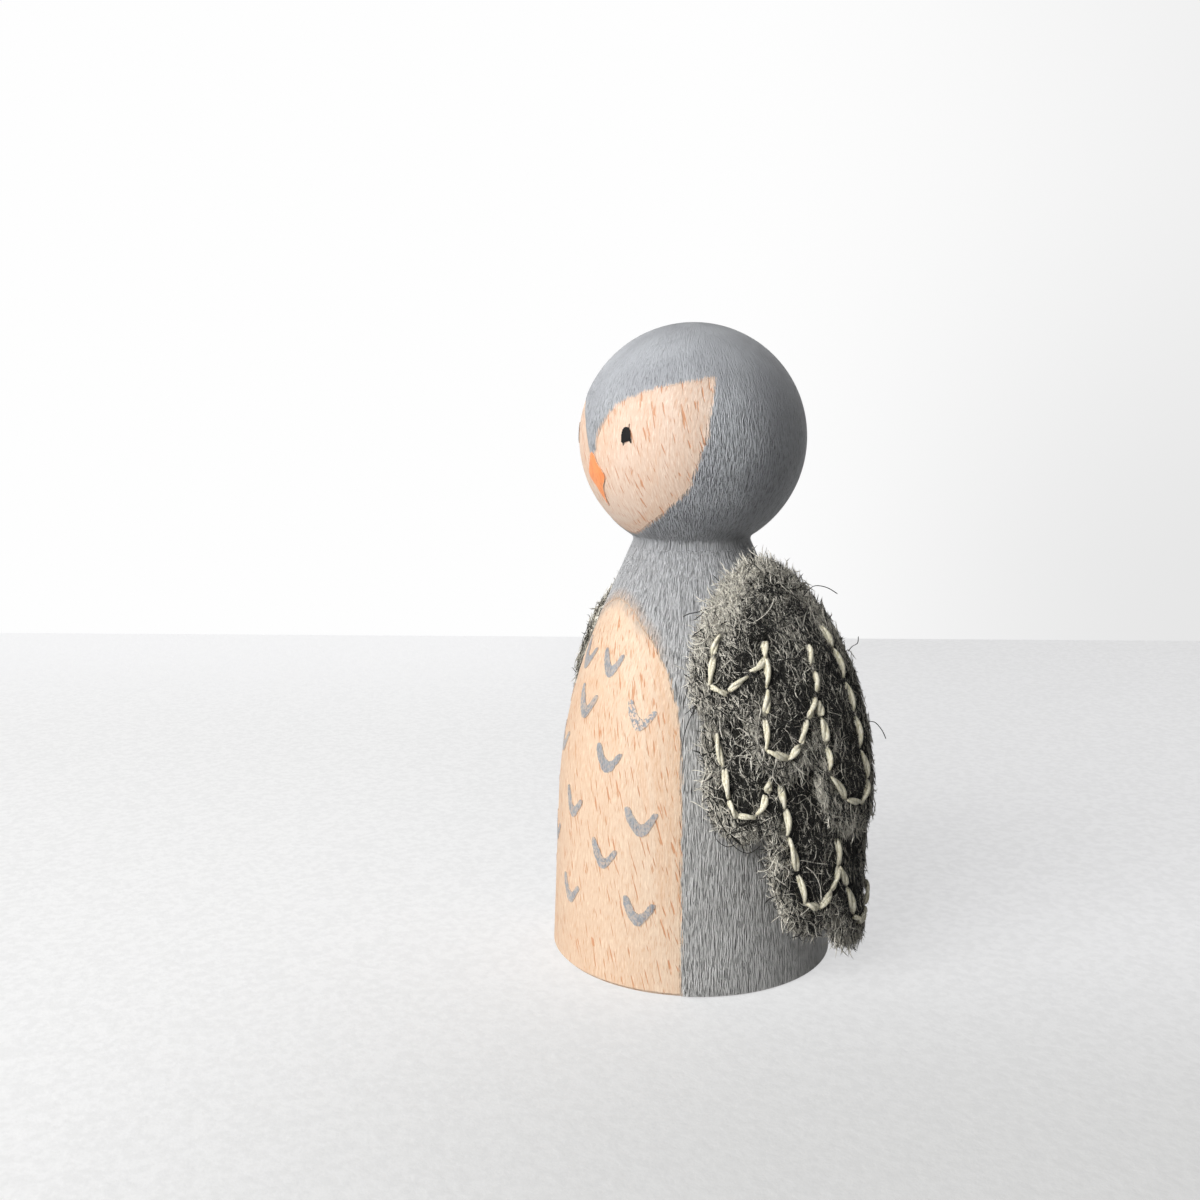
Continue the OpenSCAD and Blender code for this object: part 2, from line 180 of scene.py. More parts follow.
# Fibres on the felt's face and under it: counts, spans in each, share on the rim, lengths and radii
FIBRES = {
    "nap": ({"covert": 15500, "flight": 13500}, 3, 0.26, (1.0, 2.9), (0.022, 0.052)),
    "curls": ({"covert": 3000, "flight": 2600}, 7, 0.3, (2.0, 4.6), (0.034, 0.062)),
    "under": ({"covert": 2600, "flight": 4200}, 4, 0.06, (0.9, 2.6), (0.026, 0.055)),
}
RIM_REACH = 0.9
TABLE_GAP = 0.12
# Stray hairs on the left wing: shade, then turn, height and distance out from the wood at four places
STRAY_HAIRS = [
    (0.93, [(72.5, 36.7, 3.1), (77, 37.3, 3.3), (81, 38, 3.2), (84.2, 38.7, 2.9)]),
    (0.0, [(63.4, 34.9, 3.1), (70, 35.6, 3.4), (77.5, 36.1, 3.3), (84.7, 35.4, 3.0)]),
    (0.0, [(36.5, 36.7, 1.5), (40.5, 37.1, 1.7), (45, 37.3, 1.9), (50, 37.8, 2.4)]),
    (0.05, [(68, 40.9, 2.6), (73, 41.9, 3.1), (78.5, 41.1, 3.1), (73, 40.2, 3.0)]),
    (0.1, [(124, 32.6, 2.9), (128, 33.0, 3.2), (131.5, 33.2, 3.6), (134, 33.8, 3.8)]),
    (0.05, [(59, 17.1, 1.6), (63, 15.7, 1.7), (67.5, 15.2, 1.6), (72, 15.9, 1.5)]),
    (0.1, [(55, 18.0, 1.6), (56, 16.6, 1.7), (60, 15.9, 1.8), (64, 16.4, 1.7)]),
    (0.9, [(88, 13.4, 1.9), (91, 12.6, 2.1), (93.5, 11.2, 2.1), (94.5, 9.6, 1.9)]),
    (0.0, [(50, 29.5, 2.6), (46.5, 28.2, 2.5), (44, 26.2, 2.3), (43.5, 24.2, 2.1)]),
    (0.0, [(100, 38.5, 3.1), (108, 39.4, 3.5), (115, 39.2, 4.0), (121, 38.4, 4.3)]),
    (0.05, [(128, 25.5, 2.9), (131.5, 25.2, 3.3), (134.5, 24.2, 3.7), (136, 23.2, 3.9)]),
]
# Each layer's outline and the distances of its two faces out from the wood
FLIGHT_OUT = FELT_SEAT + FELT_T
LAYERS = {
    "covert": (COVERT_OUTLINE, FLIGHT_OUT + LAYER_GAP, FLIGHT_OUT + LAYER_GAP + FELT_T),
    "flight": (FLIGHT_OUTLINE, FELT_SEAT, FLIGHT_OUT),
}

# The camera, solved on the head's and the foot's outlines in the photograph
IMAGE_W = 1200
FOCAL_PX = 1291
SENSOR_W = 36
CAMERA_TURN = 58
CAMERA_DISTANCE = 132.75 * MM
CAMERA_HEIGHT = 57.72 * MM
CAMERA_PITCH = 8.96
CAMERA_YAW = -4.10
CAMERA_ROLL = -0.37
CAMERA_SIDE = math.radians(CAMERA_TURN)
# Across the picture and out of it towards the camera
ACROSS = Vector((math.cos(CAMERA_SIDE), math.sin(CAMERA_SIDE), 0))
TOWARD = Vector((math.sin(CAMERA_SIDE), -math.cos(CAMERA_SIDE), 0))
WALL_GAP = 175 * MM


def added(name, operator, **settings):
    """The object that one operator adds, under its own name."""
    bpy.ops.object.select_all(action="DESELECT")
    operator(**settings)
    made = bpy.context.object
    made.name = name
    return made


def make_camera():
    """The photograph's camera, in front of the doll's left side."""
    place = Matrix.Translation(
        (CAMERA_DISTANCE * math.sin(CAMERA_SIDE), -CAMERA_DISTANCE * math.cos(CAMERA_SIDE), CAMERA_HEIGHT)
    )
    aim = (
        Matrix.Rotation(math.radians(CAMERA_TURN - CAMERA_YAW), 4, "Z")
        @ Matrix.Rotation(math.radians(90 - CAMERA_PITCH), 4, "X")
        @ Matrix.Rotation(math.radians(CAMERA_ROLL), 4, "Z")
    )
    camera = added("photo_camera", bpy.ops.object.camera_add)
    camera.matrix_world = place @ aim
    camera.data.sensor_width = SENSOR_W
    camera.data.lens = FOCAL_PX / IMAGE_W * SENSOR_W
    camera.data.clip_start = 5 * MM
    camera.data.clip_end = 10
    bpy.context.scene.camera = camera


def linear(hex_colour):
    """An sRGB hex colour as Blender's linear colour."""
    parts = [int(hex_colour[i : i + 2], 16) / 255 for i in (1, 3, 5)]
    return tuple(c / 12.92 if c <= 0.04045 else ((c + 0.055) / 1.055) ** 2.4 for c in parts) + (1.0,)


def add(tree, kind, inputs=None, **settings):
    """Adds one shader node with its settings and inputs: sockets, values or hex colours."""
    made = tree.nodes.new("ShaderNode" + kind)
    for name, value in settings.items():
        setattr(made, name, value)
    for name, value in (inputs or {}).items():
        if isinstance(value, bpy.types.NodeSocket):
            tree.links.new(value, made.inputs[name])
        else:
            made.inputs[name].default_value = linear(value) if isinstance(value, str) else value
    return made


def new_material(name):
    """An empty node material."""
    material = bpy.data.materials.new(name)
    material.use_nodes = True
    material.node_tree.nodes.clear()
    return material, material.node_tree


def surfaced(material, colour, roughness, **more):
    """Ends a material in one principled surface; _ stands for a space in an input's name."""
    tree = material.node_tree
    inputs = {"Base Color": colour, "Roughness": roughness}
    inputs |= {name.replace("_", " "): value for name, value in more.items()}
    add(tree, "OutputMaterial", {"Surface": add(tree, "BsdfPrincipled", inputs).outputs["BSDF"]})
    return material


def stored(tree, name, output="Fac"):
    """What is stored on the mesh under a name."""
    return add(tree, "Attribute", attribute_name=name).outputs[output]


def bumped(tree, height, strength, distance):
    """The surface's direction when it is raised by up to a distance in millimetres."""
    bump = add(tree, "Bump", {"Height": height, "Strength": strength, "Distance": distance * MM})
    return bump.outputs["Normal"]


def grain_noise(
    tree, thin, wide, tall, seed=0.0, detail=2.0, roughness=0.5, distortion=0.0, turn=90, lean=0, lie=None
):
    """Noise, in millimetres thin across a turn, wide along it and tall upright."""
    stretched = add(tree, "Mapping", {
        "Vector": lie or add(tree, "TexCoord").outputs["Object"],
        "Location": (seed * 10 * MM, -seed * 10 * MM, seed * 10 * MM),
        "Rotation": (0.0, math.radians(lean), math.radians(turn)),
        "Scale": (thin * MM, wide * MM, tall * MM),
    }, vector_type="TEXTURE")
    inputs = {"Vector": stretched.outputs["Vector"], "Scale": 1.0, "Detail": detail}
    inputs |= {"Roughness": roughness, "Distortion": distortion}
    return add(tree, "TexNoise", inputs).outputs["Fac"]


def between(tree, value, low, high):
    """How far a value has risen from low to high, as 0 to 1 with soft ends."""
    span = {"Value": value, "From Min": low, "From Max": high}
    return add(tree, "MapRange", span, interpolation_type="SMOOTHSTEP").outputs["Result"]


def mixed(tree, factor, first, second, blend="MIX"):
    """Two colours mixed; each is a hex colour or a socket."""
    colours = {0: factor, 6: first, 7: second}
    return add(tree, "Mix", colours, data_type="RGBA", blend_type=blend).outputs[2]


def summed(tree, first, second, operation="ADD"):
    """Two values joined by one sum."""
    return add(tree, "Math", {0: first, 1: second}, operation=operation).outputs[0]


def scaled(tree, value, share):
    """A value times a share."""
    return summed(tree, value, share, "MULTIPLY")


def tinted(tree, factor, share, colour, tint, blend="MIX"):
    """A colour with a share of a tint laid over it where the factor says."""
    return mixed(tree, scaled(tree, factor, share), colour, tint, blend)


def height_above(tree):
    """The height of the place that is shaded."""
    return add(tree, "SeparateXYZ", {0: add(tree, "TexCoord").outputs["Object"]}).outputs["Z"]


def streaked(tree):
    """Broad streaks left by the bristles of the brush."""
    return between(tree, grain_noise(tree, 0.4, 0.4, 2.2, seed=61.0, detail=3), 0.30, 0.62)


def beech_colour(tree):
    """Pale beech with faint rings, short ray flecks and a warmer body than head."""
    bands = between(tree, grain_noise(tree, 4, 30, 60, seed=3.1), 0.3, 0.7)
    colour = mixed(tree, bands, "#dcc0aa", "#e6d1c0")
    rings = grain_noise(tree, 0.9, 30, 26, seed=5.2, detail=3, roughness=0.6)
    lines = between(tree, rings, 0.50, 0.68)
    colour = tinted(tree, lines, 0.32, colour, "#dcae8a")
    rays = grain_noise(tree, 0.22, 0.9, 2.5, seed=21.3, detail=1, turn=26, lean=-16)
    flecks = between(tree, rays, 0.63, 0.69)
    colour = tinted(tree, flecks, 0.72, colour, "#c87f4b")
    pores = grain_noise(tree, 0.13, 0.6, 0.8, seed=14.0, turn=22)
    # Pale pore specks are painted highlights on the raised grain; the dark pores below are the wood's own
    colour = tinted(tree, between(tree, pores, 0.46, 0.30), 0.40, colour, "#fae9d9")
    colour = tinted(tree, between(tree, pores, 0.52, 0.70), 0.42, colour, "#cf9b74")
    body = between(tree, height_above(tree), 44 * MM, 36 * MM)
    return mixed(tree, body, colour, "#f9f4e9", "MULTIPLY"), lines, flecks


def make_beech():
    """Sanded beech without varnish."""
    material, tree = new_material("beech_sanded")
    colour, lines, flecks = beech_colour(tree)
    wash = scaled(tree, summed(tree, streaked(tree), 0.6), stored(tree, "wash"))
    colour = tinted(tree, wash, 0.55, colour, "#8c8b8a")
    fuzz = grain_noise(tree, 0.14, 0.6, 0.7, seed=5.5, turn=22)
    height = summed(tree, scaled(tree, lines, -0.3), scaled(tree, flecks, -0.6))
    normal = bumped(tree, summed(tree, height, fuzz), 0.6, 0.08)
    return surfaced(material, colour, 0.55, IOR=1.5, Specular_IOR_Level=0.35, Normal=normal)


def make_paint(name, lit, deep, valley_shade_colour, bleed, ridge_height, dry=0.0, body=None, gloss=0.5):
    """Matt acrylic on bare beech: the grain has risen through it, with painted shade in its valleys, and
    it feathers out at its edge.
    """
    material, tree = new_material(name)
    cloud = between(tree, grain_noise(tree, 4, 4, 9, seed=2.0, detail=3), 0.3, 0.7)
    colour = mixed(tree, cloud, lit, deep)
    lie = stored(tree, "lie", "Vector")
    ridges = grain_noise(tree, 0.17, 0.17, 0.75, seed=11.0, roughness=0.6, distortion=0.25, lie=lie)
    pits = between(tree, grain_noise(tree, 0.13, 0.13, 0.8, seed=71.0, detail=1, lie=lie), 0.58, 0.68)
    height = height_above(tree)
    # Painted light: below the neck the coat takes lighter colours than the head's, most of all on the
    # shoulders
    if body:
        painted_body_light = mixed(tree, between(tree, height, 42 * MM, 24 * MM), *body)
        colour = tinted(tree, between(tree, height, 46 * MM, 42 * MM), 0.85, colour, painted_body_light)
    # The crown of the head is rubbed smooth
    rough = summed(tree, scaled(tree, between(tree, height, 62 * MM, 50 * MM), 0.8), 0.2)
    painted_valley_shade = scaled(tree, between(tree, ridges, 0.50, 0.36), rough)
    pits = scaled(tree, pits, rough)
    # Painted shade: the valleys of the risen grain and its pits are darkened, less so on the crown
    colour = tinted(tree, painted_valley_shade, 0.40, colour, valley_shade_colour, "MULTIPLY")
    colour = tinted(tree, pits, 0.46, colour, valley_shade_colour, "MULTIPLY")
    # Where it thins out: along its edge, where it was laid on sheer, and where the brush was dry
    edge = stored(tree, "edge")
    bristle = grain_noise(tree, 0.16, 0.16, 1.0, seed=30.0, detail=3, lie=lie)
    reach = scaled(tree, summed(tree, bristle, -0.52), bleed * 5)
    thin = between(tree, summed(tree, edge, reach, "SUBTRACT"), 0.10, -0.16)
    sheer = scaled(tree, stored(tree, "sheer"), summed(tree, streaked(tree), 0.6))
    thin = summed(tree, thin, sheer, "MAXIMUM")
    if dry:
        broken = between(tree, grain_noise(tree, 0.22, 0.3, 0.3, seed=44.0), 0.46, 0.56)
        worn = scaled(tree, scaled(tree, broken, dry), stored(tree, "dry"))
        thin = summed(tree, thin, worn, "MAXIMUM")
    bare = summed(tree, scaled(tree, thin, 0.88), between(tree, edge, -0.14, -0.27), "MAXIMUM")
    colour = mixed(tree, bare, colour, beech_colour(tree)[0])
    relief = summed(tree, scaled(tree, ridges, rough), scaled(tree, pits, -0.4))
    normal = bumped(tree, relief, 1.0, ridge_height)
    return surfaced(material, colour, 0.45, IOR=1.5, Specular_IOR_Level=gloss, Normal=normal)


def make_wool():
    """Wool felt in natural greys, from near black to beige."""
    material, tree = new_material("wool_felt_grey")
    fleck = summed(tree, grain_noise(tree, 0.25, 0.25, 0.5, seed=17.0, detail=3), -0.5)
    shade = summed(tree, stored(tree, "shade"), scaled(tree, fleck, 0.5))
    ramp = add(tree, "ValToRGB", {"Fac": shade})
    band = ramp.color_ramp
    for element, place, colour in zip(band.elements, (0.08, 0.95), ("#1c1c19", "#efeadd")):
        element.position, element.color = place, linear(colour)
    for place, colour in ((0.32, "#42413a"), (0.6, "#8b877c")):
        band.elements.new(place).color = linear(colour)
    sheen = {"Sheen_Weight": 0.15, "Sheen_Roughness": 0.5}
    return surfaced(material, ramp.outputs["Color"], 0.85, Specular_IOR_Level=0.25, **sheen)


def make_thread():
    """Cream cotton thread with fine filaments."""
    material, tree = new_material("cotton_thread_cream")
    fine = grain_noise(tree, 0.12, 0.12, 0.4, seed=9.0)
    colour = mixed(tree, between(tree, fine, 0.32, 0.62), "#cbc3a2", "#f1ecd9")
    return surfaced(material, colour, 0.55, Sheen_Weight=0.1, Normal=bumped(tree, fine, 0.6, 0.05))


def make_glue():
    """Craft glue dried clear, behind the front edge of each wing."""
    material, tree = new_material("dried_glue")
    cloud = grain_noise(tree, 0.9, 0.9, 0.9, seed=8.0, detail=3)
    colour = mixed(tree, between(tree, cloud, 0.35, 0.65), "#d6d0bd", "#b4ad98")
    matt = summed(tree, scaled(tree, cloud, 0.35), 0.12)
    return surfaced(material, colour, matt, Transmission_Weight=0.4, Normal=bumped(tree, cloud, 0.5, 0.15))


def only(obj):
    """Selects one object alone."""
    bpy.ops.object.select_all(action="DESELECT")
    obj.select_set(True)
    bpy.context.view_layer.objects.active = obj


def to_mode(mode):
    """Changes the mode of the active object."""
    bpy.ops.object.mode_set(mode=mode)


def edit_all(obj, operator, **settings):
    """Runs one mesh operator on the whole of an object."""
    only(obj)
    to_mode("EDIT")
    bpy.ops.mesh.select_all(action="SELECT")
    operator(**settings)
    to_mode("OBJECT")


def shade_between_edges(obj):
    """Shades an object smooth, apart from its sharp edges."""
    only(obj)
    bpy.ops.object.shade_smooth_by_angle(angle=EDGE_ANGLE)


def values_of(items, name, width=1, kind=float):
    """One property of many items, with a row for each item."""
    values = np.zeros(len(items) * width, kind)
    items.foreach_get(name, values)
    return values.reshape(-1, width)


def places(obj):
    """The places of an object's points, in millimetres."""
    return values_of(obj.data.vertices, "co", 3) / MM


def put_places(obj, points):
    """Moves an object's points to places in millimetres."""
    obj.data.vertices.foreach_set("co", (np.asarray(points) * MM).ravel())
    obj.data.update()


def flat_grid(name, counts):
    """A flat grid of triangles and its points as shares of its width and height."""
    counts = {"x_subdivisions": counts[0], "y_subdivisions": counts[1]}
    grid = added(name, bpy.ops.mesh.primitive_grid_add, size=2 * MM, **counts)
    edit_all(grid, bpy.ops.mesh.quads_convert_to_tris)
    return grid, (places(grid)[:, :2] + 1) / 2


def finish_piece(obj, material, slot, *nodes):
    """Gives a piece its finish, its body and the solids that it stands for; its slot is not used."""
    obj.data.materials.clear()
    obj.data.materials.append(material)
    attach(obj, "root")
    if nodes:
        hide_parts(*nodes)
    return obj


def skirt_top(t):
    """Height where the skirt's taper meets the belly, on an outline moved out by t."""
    return BLEND_Z + (BELLY_BLEND + t) * math.sin(SKIRT_TAPER)


def cone_foot(t):
    """Height where the belly meets the shoulders' taper, on an outline moved out by t."""
    return BLEND_Z + (BELLY_BLEND + t) * math.sin(SHOULDER_TAPER)


def body_radius(z, t):
    """Radius of the bell-shaped body at the heights z, moved out by t."""
    z = np.asarray(z, float)
    skirt = FOOT_R - z * math.tan(SKIRT_TAPER) + t / math.cos(SKIRT_TAPER)
    belly = BLEND_X + np.sqrt(np.maximum((BELLY_BLEND + t) ** 2 - (z - BLEND_Z) ** 2, 0))
    cone = CORNER_R - (z - SHOULDER_H) * math.tan(SHOULDER_TAPER) + t / math.cos(SHOULDER_TAPER)
    return np.where(z < skirt_top(t), skirt, np.where(z < cone_foot(t), belly, cone))


def peg_outline(t, step, low):
    """The peg's outline from low to the top, moved out by t: body, neck fillet and ball."""
    off = float(body_radius(HEAD_Z, 0)) * math.cos(SHOULDER_TAPER) + NECK_FILLET
    out = HEAD_R + NECK_FILLET
    along = math.sqrt(out * out - off * off)
    fillet_x = off * math.cos(SHOULDER_TAPER) + along * math.sin(SHOULDER_TAPER)
    fillet_z = HEAD_Z + off * math.sin(SHOULDER_TAPER) - along * math.cos(SHOULDER_TAPER)
    fillet_r = NECK_FILLET - t
    body_end = fillet_z - fillet_r * math.sin(SHOULDER_TAPER)
    heights = np.linspace(low, body_end, round((body_end - low) / step) + 1)
    points = [(float(body_radius(z, t)), float(z)) for z in heights]
    first = math.pi + SHOULDER_TAPER
    last = math.atan2(HEAD_Z - fillet_z, -fillet_x)
    turns = np.linspace(first, last, max(5, round((first - last) * fillet_r / (0.5 * step))))[1:-1]
    points += [(fillet_x + fillet_r * math.cos(a), fillet_z + fillet_r * math.sin(a)) for a in turns]
    ball_start = math.atan2(fillet_z - HEAD_Z, fillet_x)
    ball = np.linspace(ball_start, math.pi / 2, round((math.pi / 2 - ball_start) * HEAD_R / step) + 1)
    points += [((HEAD_R + t) * math.cos(a), HEAD_Z + (HEAD_R + t) * math.sin(a)) for a in ball]
    points[-1] = (0.0, points[-1][1])
    return points


def turn_on_lathe(name, points, steps):
    """Spins an outline of radius and height once round the doll's axis."""
    obj = added(name, bpy.ops.mesh.primitive_plane_add, size=MM, location=(0, 0, 0))
    to_mode("EDIT")
    bpy.ops.mesh.merge(type="CENTER")
    bpy.ops.transform.translate(value=(points[0][0] * MM, 0, points[0][1] * MM))
    for (r0, z0), (r1, z1) in zip(points, points[1:]):
        bpy.ops.mesh.extrude_region_move(
            TRANSFORM_OT_translate={"value": ((r1 - r0) * MM, 0, (z1 - z0) * MM)}
        )
    bpy.ops.mesh.select_all(action="SELECT")
    bpy.ops.mesh.spin(steps=steps, angle=math.tau, center=(0, 0, 0), axis=(0, 0, 1))
    bpy.ops.mesh.select_all(action="SELECT")
    bpy.ops.mesh.remove_doubles(threshold=0.004 * MM)
    bpy.ops.mesh.normals_make_consistent(inside=False)
    to_mode("OBJECT")
    bpy.ops.object.shade_smooth()
    return obj


def smooth_line(points, share=6, closed=False):
    """A line rounded through its points, with share places from one point to the next."""
    p = np.array(points, float)
    p = np.concatenate([p[-1:], p, p[:2]] if closed else [p[:1], p, p[-1:]])
    line = []
    for a, b, c, d in zip(p, p[1:], p[2:], p[3:]):
        for s in np.arange(share) / share:
            cubic = (3 * b - a - 3 * c + d) * s**3
            line.append(0.5 * (2 * b + (c - a) * s + (2 * a - 5 * b + 4 * c - d) * s**2 + cubic))
    return np.array(line if closed else line + [p[-1]])


def inside(points, outline):
    """Which flat points lie inside a closed flat outline."""
    result = np.zeros(len(points), bool)
    x, y = points[:, 0], points[:, 1]
    for (x0, y0), (x1, y1) in zip(outline, np.roll(outline, -1, axis=0)):
        crosses = (y0 > y) != (y1 > y)
        if y0 != y1:
            result ^= crosses & (x < (x1 - x0) * (y - y0) / (y1 - y0) + x0)
    return result


def distance_to_line(points, line, closed=True):
    """Distance from each point to a line through places."""
    nearest = np.full(len(points), FAR_OFF * 100)
    for a, b in zip(line, np.roll(line, -1, axis=0) if closed else line[1:]):
        run = b - a
        share = np.clip(((points - a) @ run) / max(run @ run, 1e-12), 0, 1)
        nearest = np.minimum(nearest, np.linalg.norm(points - a - share[:, None] * run, axis=1))
    return nearest


def mirrored(side):
    """A closed outline from one side of it and that side's mirror image."""
    return np.array(list(side) + [(-x, y) for x, y in reversed(side[1:-1])], float)


def on_ball(flat, t=0.0):
    """Turn and elevation in degrees to a place on the ball head."""
    turn, rise = np.radians(flat).T
    r = (HEAD_R + t) * np.cos(rise)
    return np.stack([r * np.sin(turn), -r * np.cos(turn), HEAD_Z + (HEAD_R + t) * np.sin(rise)], axis=1)


def on_body(flat, t=0.0, axis=(0, 0)):
    """Turn in degrees and height to a place on the body, or on its like about another axis."""
    turn, r = np.radians(flat[:, 0]), body_radius(flat[:, 1], t)
    return np.stack([axis[0] + r * np.sin(turn), axis[1] - r * np.cos(turn), flat[:, 1]], axis=1)


def body_turns(points):
    """The turn and height of places round the doll's axis."""
    return np.stack([np.degrees(np.arctan2(points[:, 0], -points[:, 1])), points[:, 2]], axis=1)


def ball_turns(points):
    """The turn and elevation of places round the middle of the head."""
    flat = body_turns(points)
    flat[:, 1] = np.degrees(np.arctan2(points[:, 2] - HEAD_Z, np.hypot(points[:, 0], points[:, 1])))
    return flat


def depth_in(points, flat, outline, lift):
    """Depth of each point inside an outline drawn on the doll, in millimetres, negative outside."""
    away = distance_to_line(points, lift(outline))
    return np.where(inside(flat, outline), away, -away)


def noise_at(points, grain, shift=(0, 0, 0)):
    """Smooth noise at each place, in lumps about as wide as the grain in millimetres."""
    shift = Vector(shift)
    return np.array([noise.noise(Vector(p) / grain + shift) for p in points])


def trim(obj, depth):
    """Cuts a surface back to where depth is above zero, with its new edge drawn exactly on zero."""
    points = places(obj)
    edges = values_of(obj.data.edges, "vertices", 2, int)
    edges = np.concatenate([edges, edges[:, ::-1]])
    out, kept = edges[(depth[edges[:, 0]] <= 0) & (depth[edges[:, 1]] > 0)].T
    move = (depth[out] / (depth[out] - depth[kept]))[:, None] * (points[kept] - points[out])
    # The shortest move of each point comes last and stays
    order = np.argsort(-np.linalg.norm(move, axis=1))
    target = points.copy()
    target[out[order]] = (points[out] + move)[order]
    put_places(obj, target)
    corners = values_of(obj.data.loops, "vertex_index", kind=int).reshape(-1, 3)
    gone = (depth[corners] <= 0).all(axis=1)
    only(obj)
    to_mode("EDIT")
    bpy.ops.mesh.select_all(action="DESELECT")
    bpy.ops.mesh.select_mode(type="FACE")
    to_mode("OBJECT")
    obj.data.polygons.foreach_set("select", gone)
    to_mode("EDIT")
    bpy.ops.mesh.delete(type="FACE")
    bpy.ops.mesh.select_mode(type="VERT")
    to_mode("OBJECT")


def set_attribute(obj, name, values):
    """Stores one number for each of an object's points."""
    attribute = obj.data.attributes.get(name) or obj.data.attributes.new(name, "FLOAT", "POINT")
    attribute.data.foreach_set("value", np.asarray(values, np.float32))


def read_attribute(obj, name):
    """The numbers stored for an object's points."""
    return values_of(obj.data.attributes[name].data, "value")[:, 0]


def set_lie(obj):
    """Stores where each point lies along the doll's outline and round it."""
    points = places(obj)
    turn = np.arctan2(points[:, 1], points[:, 0])
    rise = np.arctan2(points[:, 2] - HEAD_Z, np.hypot(points[:, 0], points[:, 1]))
    chin = math.radians(-60)
    along = HEAD_Z + HEAD_R * math.sin(chin) + HEAD_R * (rise - chin)
    along = np.where((rise > chin) & (points[:, 2] > HEAD_Z - HEAD_R), along, points[:, 2])
    along = np.interp(along, *LIE_STRETCH)
    lie = np.stack([LIE_R * np.cos(turn), LIE_R * np.sin(turn), along], axis=1) * MM
    attribute = obj.data.attributes.new("lie", "FLOAT_VECTOR", "POINT")
    attribute.data.foreach_set("vector", lie.astype(np.float32).ravel())


def thicken(obj, thickness, offset=-1.0):
    """Gives a surface its thickness."""
    only(obj)
    wall = obj.modifiers.new("thickness", "SOLIDIFY")
    wall.thickness = thickness * MM
    wall.offset = offset
    wall.use_even_offset = False
    bpy.ops.object.modifier_apply(modifier=wall.name)


FACE_LINE = mirrored(smooth_line(FACE_SIDE, 4).tolist())
BREAST_LINE = mirrored(smooth_line(BREAST_SIDE, 4).tolist())


def make_peg(beech):
    """The turned beech peg with its foot bevel."""
    outline = [(0.0, 0.0), (FOOT_R - FOOT_RING, 0.0), (FOOT_R - FOOT_BEVEL, 0.0)]
    peg = turn_on_lathe("peg", outline + peg_outline(0, PEG_STEP, FOOT_BEVEL), 200)
    points = places(peg)
    depth = depth_in(points, body_turns(points), BREAST_LINE, on_body)
    high = np.clip((points[:, 2] - 33.2) / 2.6, 0, 1) * (points[:, 2] < 42)
    set_attribute(peg, "wash", np.clip(1 - depth / 1.3, 0, 1) * high)
    shade_between_edges(peg)
    finish_piece(peg, beech, "beech", "turned_peg")


def feather(coat):
    """Lets the coat thin out to nothing towards its brushed edges."""
    full = np.clip((read_attribute(coat, "edge") + FEATHER) / (FEATHER + 0.1), 0, 1)
    sunk = (COAT_T - COAT_LEAST) * (1 - full)
    put_places(coat, places(coat) - values_of(coat.data.vertices, "normal", 3) * sunk[:, None])


def make_coat(paint):
    """The grey coat, with the face and the breast left bare."""
    coat = turn_on_lathe("slate_paint_coat", peg_outline(COAT_T, OUTLINE_STEP, 0.1), 256)
    edit_all(coat, bpy.ops.mesh.quads_convert_to_tris)
    points = places(coat)
    height = points[:, 2]
    face = -depth_in(points, ball_turns(points), FACE_LINE, on_ball)
    face = np.where(height > HEAD_Z - HEAD_R, face, FAR_OFF)
    breast = -depth_in(points, body_turns(points), BREAST_LINE, on_body)
    breast = np.where(height < CHEST_TOP, breast, FAR_OFF)
    depth = np.minimum(face, breast)
    depth += 0.12 * noise_at(points, 1.6) + 0.13 * noise_at(points * [1, 1, 0.6], 0.45)
    arch = np.clip((height - ARCH_FOOT) / 5, 0, 1) * (height < CHEST_TOP)
    set_attribute(coat, "edge", np.clip(depth, -1, 2))
    set_attribute(coat, "sheer", 0.5 * arch * np.clip(1 - breast / 1.1, 0, 1))
    trim(coat, np.minimum(depth + FEATHER, height - COAT_FOOT_GAP))
    feather(coat)
    set_lie(coat)
    thicken(coat, COAT_T + 0.03)
    shade_between_edges(coat)
    finish_piece(coat, paint, "slate_paint", "slate_coat")


def painted_patch(name, low, high, step, outline, lift, t, wander):
    """A patch of paint laid on the doll within an outline of turn and height or elevation."""
    span = np.array(high) - np.array(low)
    patch, shares = flat_grid(name, [max(4, int(n)) for n in span / np.array(step)])
    flat = shares * span + np.array(low)
    points = lift(flat, t)
    put_places(patch, points)
    depth = depth_in(points, flat, outline, lift) + wander * noise_at(points, 0.6)
    set_attribute(patch, "edge", np.clip(depth, -1, 2))
    trim(patch, depth)
    set_lie(patch)
    thicken(patch, t + 0.02)
    shade_between_edges(patch)
    return patch


def make_beak(paint):
    """The small orange beak, a diamond drawn with two strokes."""
    outline = mirrored(smooth_line(BEAK_SIDE, 3).tolist())
    beak = painted_patch("beak_paint_stroke", (-9, -35), (9, -4), (0.5, 0.5), outline, on_ball, 0.12, 0.06)
    finish_piece(beak, paint, "beak_paint", "beak_paint")


def join_all(parts, name):
    """Joins like parts into one piece."""
    only(parts[0])
    for part in parts[1:]:
        part.select_set(True)
    bpy.ops.object.join()
    parts[0].name = name
    return parts[0]


def make_eyes(ink):
    """Two upright ink spots, each with a short bleed up its grain and two down."""
    half_w, half_h = np.degrees(EYE_W / 2 / HEAD_R), np.degrees(EYE_H / 2 / HEAD_R)
    parts = []
    for side in (-1, 1):
        outline = np.array(EYE_SPOT) * [side * half_w, half_h] + [side * EYE_TURN, EYE_ELEVATION]
        low, high = outline.min(0) - 0.5, outline.max(0) + 0.5
        parts.append(painted_patch("eye", low, high, (0.25, 0.25), outline, on_ball, 0.07, 0.03))
    finish_piece(join_all(parts, "ink_eyes"), ink, "eye_ink", "eye_paint")


